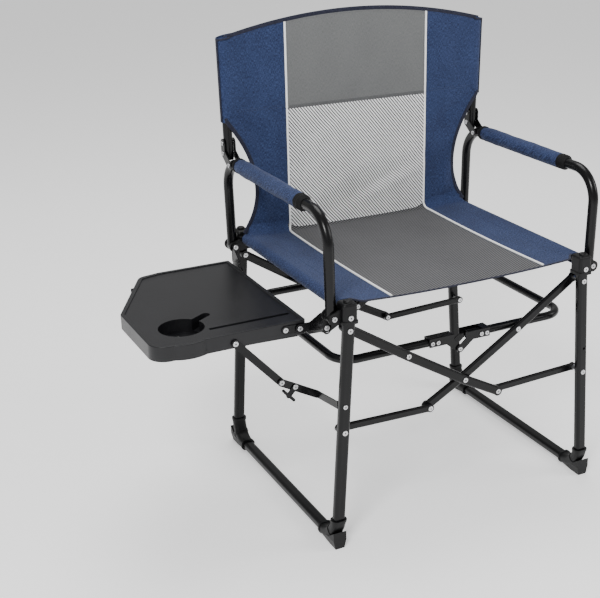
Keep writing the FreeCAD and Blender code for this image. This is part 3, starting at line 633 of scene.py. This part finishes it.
GREY_RANGES = (("left", -PIPE_BACK, GREY_SPLIT_X), ("middle", GREY_SPLIT_X, SPLIT_X),
               ("right", SPLIT_X, PIPE_BACK))


def ride_grey(obj, part):
    """The left piece stays where it is built, its transform baked into its points; the middle goes
    with the back's centre, the right piece with its right side.
    """
    if part == "left":
        tuple(metres((-76, 195, 780)))
        tuple(metres((-48, 195, 780)))
        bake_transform(obj)
    else:
        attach(obj, "back_centre" if part == "middle" else "back_right")


def top_binding(name, xs):
    """Binding folded over the top edge of the back."""
    sunk, thick = 1.4, 3.6
    path = [(x, back_y(x, crown(x)), crown(x) - sunk) for x in xs]
    return sweep(name, path, tape_profile(EDGE_TAPE, thick), (0, -1, 0), NAVY)


def front_of_back(x, z, over=0.0):
    """A point on the front face of the backrest's cloth, or a little over it."""
    return (x, back_y(x, z) - CLOTH / 2 - over, z)


def top_stitches(xs):
    """A row of stitches below the top edge."""
    rows = [(x, back_y(x, crown(x) - 8) - CLOTH / 2, crown(x) - TOP_STITCH) for x in xs]
    return stitch_row(rows, (0, -1, 0))


def piping(name, points, up):
    return sweep(name, resample(points, PIPE_STEP), round_profile(PIPE_R), up, WHITE)


# Each side: the blue panel with its post pocket, its bindings, its stitches and its piping.
for side, s in SIDES:
    panel = side_panel(side, s)
    with_pocket(panel, s)
    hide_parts("back_" + side + "_panel")
    binding = top_binding("top_binding_" + side, spaced(s * PIPE_BACK, s * (post_x(860) - 1), 14))
    with_pocket(binding, s)
    # The pocket's outer edge and its closed top, both on the post.
    path = [(s * (post_x(z) + POCKET_R + 0.9), POST_Y - 3.0, z)
            for z in spaced(POCKET_FOOT, POCKET_TOP, 20)]
    outer = sweep("pocket_binding_" + side, path, tape_profile(7.5, 2.6), (s, 0, 0), NAVY)
    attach(outer, side + "_post")
    cap_from = post_x(CAP_Z) - 12
    cap = [(s * (cap_from + 1.9 * k), POST_Y - 8.0 + 0.2 * k, 858.5 - 0.3 * k) for k in range(13)]
    taper = [1.0] * 9 + [0.95, 0.85, 0.70, 0.50]
    corner = sweep("pocket_cap_" + side, cap, tape_profile(14.0, 3.4), (0, 0, 1), NAVY,
                   taper)
    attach(corner, side + "_post")
    # Two rows over the seam, one below the top edge and one beside the piping.
    rows = []
    for offset in (4.0, 8.0):
        rows += stitch_row([front_of_back(s * x, SEAM_Z + offset)
                            for x in spaced(PIPE_BACK + 5, 272, 24)], (0, -1, 0))
    rows += top_stitches([s * x for x in spaced(PIPE_BACK + 4, 274, 24)])
    rows += stitch_row([(s * (PIPE_BACK + PIPE_STITCH), back_y(s * PIPE_BACK, z) - CLOTH / 2, z)
                        for z in spaced(SEAM_Z + 3, crown(PIPE_BACK) - 9, 20)], (0, -1, 0))
    threads = joined("back_side_stitches_" + side, rows, THREAD)
    with_pocket(threads, s)
    pipe = piping("back_piping_" + side, [(s * PIPE_BACK, back_y(s * PIPE_BACK, z) - PIPE_LIFT, z)
                                          for z in spaced(SEAM_Z, crown(PIPE_BACK) - 5, 18)],
                  (0, -1, 0))
    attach(pipe, UPPER_BODY[side])

for part, x0, x1 in GREY_RANGES:
    xs = spaced(x0, x1, 16)
    panel = cloth("back_grey_" + part, upper_grid(x0, x1), GREY)
    ride_grey(panel, part)
    if part == "middle":
        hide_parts("back_centre_panel")
    trim = top_binding("top_binding_grey_" + part, xs)
    ride_grey(trim, part)
    band = [front_of_back(x, SEAM_Z + 3.0, 0.3) for x in xs]
    seam = sweep("back_seam_" + part, band, tape_profile(6.5, 1.2), (0, -1, 0), SEAM_GREY)
    ride_grey(seam, part)
    rows = []
    for height in (SEAM_Z + 1.6, SEAM_Z + 5.0):
        rows += stitch_row([front_of_back(x, height, 0.9) for x in xs], (0, -1, 0))
    rows += top_stitches(xs)
    threads = joined("back_grey_stitches_" + part, rows, GREY_THREAD)
    ride_grey(threads, part)


# ------------------------------------------------------------------ backrest below the seam
def lower_grid(side_sign, inner, outer_at, columns):
    """Points between the crease and the seam, from the inner x to outer_at(height)."""
    rows = 34
    grid = []
    for j in range(columns):
        t = j / (columns - 1)
        line = []
        for i in range(rows):
            v = i / (rows - 1)
            x = inner
            for _ in range(FITS):
                low = crease_top(x)
                z = low + (SEAM_Z - low) * v
                x = inner + (outer_at(z) - inner) * t
            line.append((side_sign * x, back_y(side_sign * x, z), z))
        grid.append(line)
    grid = np.array(grid)
    return grid if side_sign > 0 else grid[::-1]


for side, s in SIDES:
    mesh_panel = cloth("back_mesh_" + side, lower_grid(s, 0.0, lambda z: PIPE_BACK, 24),
                       BACK_MESH)
    crumples(mesh_panel, side)
    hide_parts("lower_back_" + side)
    wing = cloth("back_wing_" + side, lower_grid(s, PIPE_BACK, back_edge, 16), BLUE)
    crumples(wing, side)
    zs = spaced(474.0, SEAM_Z - 5, 36)
    edge = [(s * (back_edge(z) - 1.6), back_y(s * back_edge(z), z), z) for z in zs]
    trim = sweep("wing_binding_" + side, edge, tape_profile(EDGE_TAPE, 3.4), (0, -1, 0), NAVY)
    crumples(trim, side)
    rows = stitch_row([(s * (back_edge(z) - 7.5),
                        back_y(s * (back_edge(z) - 7), z) - CLOTH / 2, z) for z in zs], (0, -1, 0))
    rows += stitch_row([(s * (PIPE_BACK + PIPE_STITCH), back_y(s * PIPE_BACK, z) - CLOTH / 2, z)
                        for z in spaced(474, SEAM_Z - 2, 36)], (0, -1, 0))
    threads = joined("wing_stitches_" + side, rows, THREAD)
    crumples(threads, side)
    pipe = piping("lower_piping_" + side, [(s * PIPE_BACK, back_y(s * PIPE_BACK, z) - PIPE_LIFT, z)
                                           for z in spaced(crease_top(PIPE_BACK), SEAM_Z + 1, 26)],
                  (0, -1, 0))
    crumples(pipe, side)


# ------------------------------------------------------------------ seat
SLEEVE_STEPS, SLEEVE_TURN = 14, 1.25        # the sleeve goes this many half turns round the rail
SLEEVE_FRONT, SLEEVE_REAR = -211.0, 199.0


def top_of_seat(x, y):
    return (x, y, seat_z(x, y) + CLOTH / 2)


for side, s in SIDES:
    xs = [s * x for x in spaced(0.0, PIPE_SEAT, 22)]
    grid = np.array(seat_grid(xs))
    mesh_panel = cloth("seat_mesh_" + side, grid if s > 0 else grid[::-1], SEAT_MESH)
    with_seat(mesh_panel, side)
    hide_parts("seat_" + side + "_half")
    strip = seat_grid([s * x for x in spaced(PIPE_SEAT, RAIL_X - 3, 16)])
    rows = len(strip[0])
    for k in range(SLEEVE_STEPS + 1):
        a = math.pi / 2 - math.pi * SLEEVE_TURN * k / SLEEVE_STEPS
        x = RAIL_X + SLEEVE_R * math.cos(a)
        z = RAIL_Z + SLEEVE_R * math.sin(a)
        strip.append([(s * x, y, z) for y in spaced(SLEEVE_FRONT, SLEEVE_REAR, rows)])
    strip = np.array(strip)
    blue = cloth("seat_side_" + side, strip if s > 0 else strip[::-1], BLUE)
    with_rail(blue, s)
    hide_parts(side + "_seat_sleeve")
    front_path = [(s * x, seat_front(x) - 0.2, seat_z(x, seat_front(x)))
                  for x in spaced(0.0, 238.0, 34)]
    trim = sweep("seat_front_binding_" + side, front_path, tape_profile(4.2, 3.0), (0, 0, 1), NAVY)
    with_rail(trim, s)
    pipe_points = [(s * PIPE_SEAT, y, seat_z(PIPE_SEAT, y) + PIPE_LIFT)
                   for y in spaced(-226.0, SEAT_REAR - 20, 24)]
    bend, top = crease_bend(PIPE_BACK), crease_top(PIPE_BACK)
    rear = back_y(s * PIPE_BACK, top) - bend
    reach = bend - PIPE_LIFT
    for k in range(1, BEND_STEPS + 1):
        a = math.pi / 2 * k / BEND_STEPS
        x = PIPE_SEAT - (PIPE_SEAT - PIPE_BACK) * k / BEND_STEPS
        pipe_points.append((s * x, rear + reach * math.sin(a), top - reach * math.cos(a)))
    pipe = piping("seat_piping_" + side, pipe_points, (0.2 * s, -0.6, 0.8))
    with_seat(pipe, side)
    rows = []
    for x in (PIPE_SEAT + PIPE_STITCH, PIPE_SEAT - 4.0):
        rows += stitch_row([top_of_seat(s * x, y) for y in spaced(-220, SEAT_REAR - 4, 30)],
                           (0, 0, 1))
    threads = joined("seat_stitches_" + side, rows, THREAD)
    with_seat(threads, side)
    hem = stitch_row([top_of_seat(s * 222.0, y) for y in spaced(-205, 186, 30)], (0, 0, 1))
    hems = joined("seat_hem_stitches_" + side, hem, THREAD)
    with_seat(hems, side)


# ------------------------------------------------------------------ carry strap
strap_points = [(0, 201.2, 702), (0, 201.4, 722), (0, 212.0, 741), (0, 223.6, 762),
                (0, 226.4, 788), (0, 223.6, 814), (0, 212.0, 834), (0, 201.4, 854),
                (0, 201.2, 874)]
strap = sweep("carry_strap_webbing", resample(strap_points, 4.0), tape_profile(25.0, 2.4),
              (0, 1, 0), NAVY)
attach(strap, "back_centre")
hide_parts("carry_strap")
STRAP_FACE = 202.8


def strap_row(x0, z0, x1, z1):
    """A short row of stitches on the rear face of the strap."""
    spots = [(x0, STRAP_FACE, z0), ((x0 + x1) / 2, STRAP_FACE, (z0 + z1) / 2), (x1, STRAP_FACE, z1)]
    return stitch_row(spots, (0, 1, 0), 3.4, 2.3)


# Each end of the strap is sewn down with a crossed box.
rows = []
for low, high in ((704, 720), (856, 872)):
    for x in (-10.5, 10.5):
        rows += strap_row(x, low, x, high)
    for z in (low, high):
        rows += strap_row(-10, z, 10, z)
    rows += strap_row(-10, low, 10, high)
    rows += strap_row(-10, high, 10, low)
strap_thread = joined("carry_strap_stitches", rows, GREY_THREAD)
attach(strap_thread, "back_centre")


# ------------------------------------------------------------------ arm pads
COVER_FRONT, COVER_REAR = PAD_FRONT + 17.0, PAD_REAR - 6.0
PAD_LIFT, PAD_FLAT = 0.1, 0.985           # the cover over the foam: raised axis, flattened height
CRUSH_LONG, CRUSH_SHORT, PUCKER, SEAM_DENT = 0.35, 0.22, 0.5, 0.9
END_NARROW = 0.10                         # share of the radius lost at the tied ends


def pad_axis(s, y):
    """A point on the pad's axis."""
    return np.array([s * post_x(PAD_Z), y, PAD_Z + PAD_LIFT])


def pad_cover(s):
    """A cloth sleeve over foam: puckered at its ends and slightly crushed along its length."""
    rows, sides = 56, 32
    points, faces = [], []
    for i in range(rows):
        y = COVER_FRONT + (COVER_REAR - COVER_FRONT) * i / (rows - 1)
        ends = min(i, rows - 1 - i) / 3.0
        centre = pad_axis(s, y)
        for k in range(sides):
            a = 2 * math.pi * k / sides
            r = PAD_R * (1.0 - END_NARROW * math.exp(-ends ** 2))
            r += CRUSH_LONG * math.sin(y / 19.0 + 2 * a)
            r += CRUSH_SHORT * math.sin(y / 7.3 - 3 * a + s)
            r += PUCKER * math.exp(-ends ** 2 / 2) * math.sin(9 * a + y / 5)
            r -= SEAM_DENT * math.exp(-((a - math.pi * 1.5) / 0.10) ** 2)
            points.append(centre + np.array([r * math.cos(a), 0, r * math.sin(a) * PAD_FLAT]))
    for i in range(rows - 1):
        for k in range(sides):
            a, b = i * sides + k, i * sides + (k + 1) % sides
            faces.append((a, a + sides, b + sides, b))
    faces.append(tuple(range(sides)))
    faces.append(tuple(range((rows - 1) * sides, rows * sides))[::-1])
    return points, faces


for side, s in SIDES:
    points, faces = pad_cover(s)
    pad = piece("arm_pad_cover_" + side, points, faces, BLUE)
    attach(pad, side + "_arm")
    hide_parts(side + "_arm_pad")
    for end, y0, y1 in (("front", PAD_FRONT - 2.0, PAD_FRONT + 20.0),
                        ("rear", PAD_REAR + 3.0, PAD_REAR - 9.0)):
        path = [pad_axis(s, y) for y in spaced(y0, y1, 12)]
        size = [0.70 + 0.30 * smooth(k / 3) + 0.02 * math.sin(2.1 * k) for k in range(12)]
        ring = sweep("arm_pad_" + end + "_binding_" + side, path, round_profile(PAD_R - 0.4, 28),
                     (0, 0, 1), BLACK_TAPE, scale=size)
        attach(ring, side + "_arm")
    seam_line = [pad_axis(s, y) + np.array([0, 0, -PAD_R + 0.2])
                 for y in spaced(PAD_FRONT + 20, PAD_REAR - 8, 40)]
    ridge = sweep("arm_pad_seam_" + side, seam_line, tape_profile(4.0, 2.0), (0, 0, -1),
                  BLACK_TAPE)
    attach(ridge, side + "_arm")


# ------------------------------------------------------------------ materials of the CAD nodes
SLOT_MATERIAL = {"black_paint": PAINT, "rivet_steel": STEEL, "black_plastic": PLASTIC,
                 "table_plastic": TABLE, "blue_cloth": BLUE, "grey_cloth": GREY,
                 "back_mesh": BACK_MESH, "seat_mesh": SEAT_MESH, "navy_binding": NAVY}
for part in frame["record"]["subparts"]:
    obj = nodes[part["node"]]
    material = SLOT_MATERIAL[part["material_slot"]]
    if not obj.material_slots:
        obj.data.materials.append(material)
    for each in obj.material_slots:
        each.material = material


# ------------------------------------------------------------------ floor, light and camera
scene = bpy.context.scene
floor_mesh = bpy.data.meshes.new("floor")
SPAN = 14.0
floor_corners = [(-SPAN, -SPAN, 0), (SPAN, -SPAN, 0), (SPAN, SPAN, 0), (-SPAN, SPAN, 0)]
floor_mesh.from_pydata(floor_corners, [], [(0, 1, 2, 3)])
floor = bpy.data.objects.new("floor", floor_mesh)
floor_look = shader("floor", Base_Color=(0.93, 0.93, 0.93, 1), Roughness=0.7,
                    Emission_Color=(1, 1, 1, 1), Emission_Strength=0.45)
floor_mesh.materials.append(floor_look[0])
scene.collection.objects.link(floor)

world = bpy.data.worlds.new("studio")
world.use_nodes = True
sky = world.node_tree.nodes["Background"]
sky.inputs["Color"].default_value = (1.0, 1.0, 1.0, 1.0)
sky.inputs["Strength"].default_value = 0.48
scene.world = world
AIM = (0.1, 0.0, 0.45)    # metres; every light faces this point


def area_light(name, place, size, power):
    data = bpy.data.lights.new(name, "AREA")
    data.shape = "DISK"
    data.size = size
    data.energy = power
    obj = bpy.data.objects.new(name, data)
    obj.location = place
    obj.rotation_euler = (Vector(AIM) - Vector(place)).to_track_quat("-Z", "Y").to_euler()
    scene.collection.objects.link(obj)


area_light("key", (-1.9, -2.1, 2.9), 1.2, 112)
area_light("fill", (2.6, -1.6, 1.9), 1.6, 34)
area_light("top", (0.3, 0.9, 3.2), 2.0, 52)

camera_data = bpy.data.cameras.new("camera")
camera_data.lens = 69.96
camera_data.sensor_width = 36.0
camera_data.shift_x = -0.133
camera_data.clip_end = 60.0
camera = bpy.data.objects.new("camera", camera_data)
camera.location = (-1.095 + MIDDLE_X, -1.859, 1.193)
camera.rotation_euler = (math.radians(68.70), 0.0, math.radians(-29.13))
scene.collection.objects.link(camera)
scene.camera = camera

bpy.context.view_layer.update()
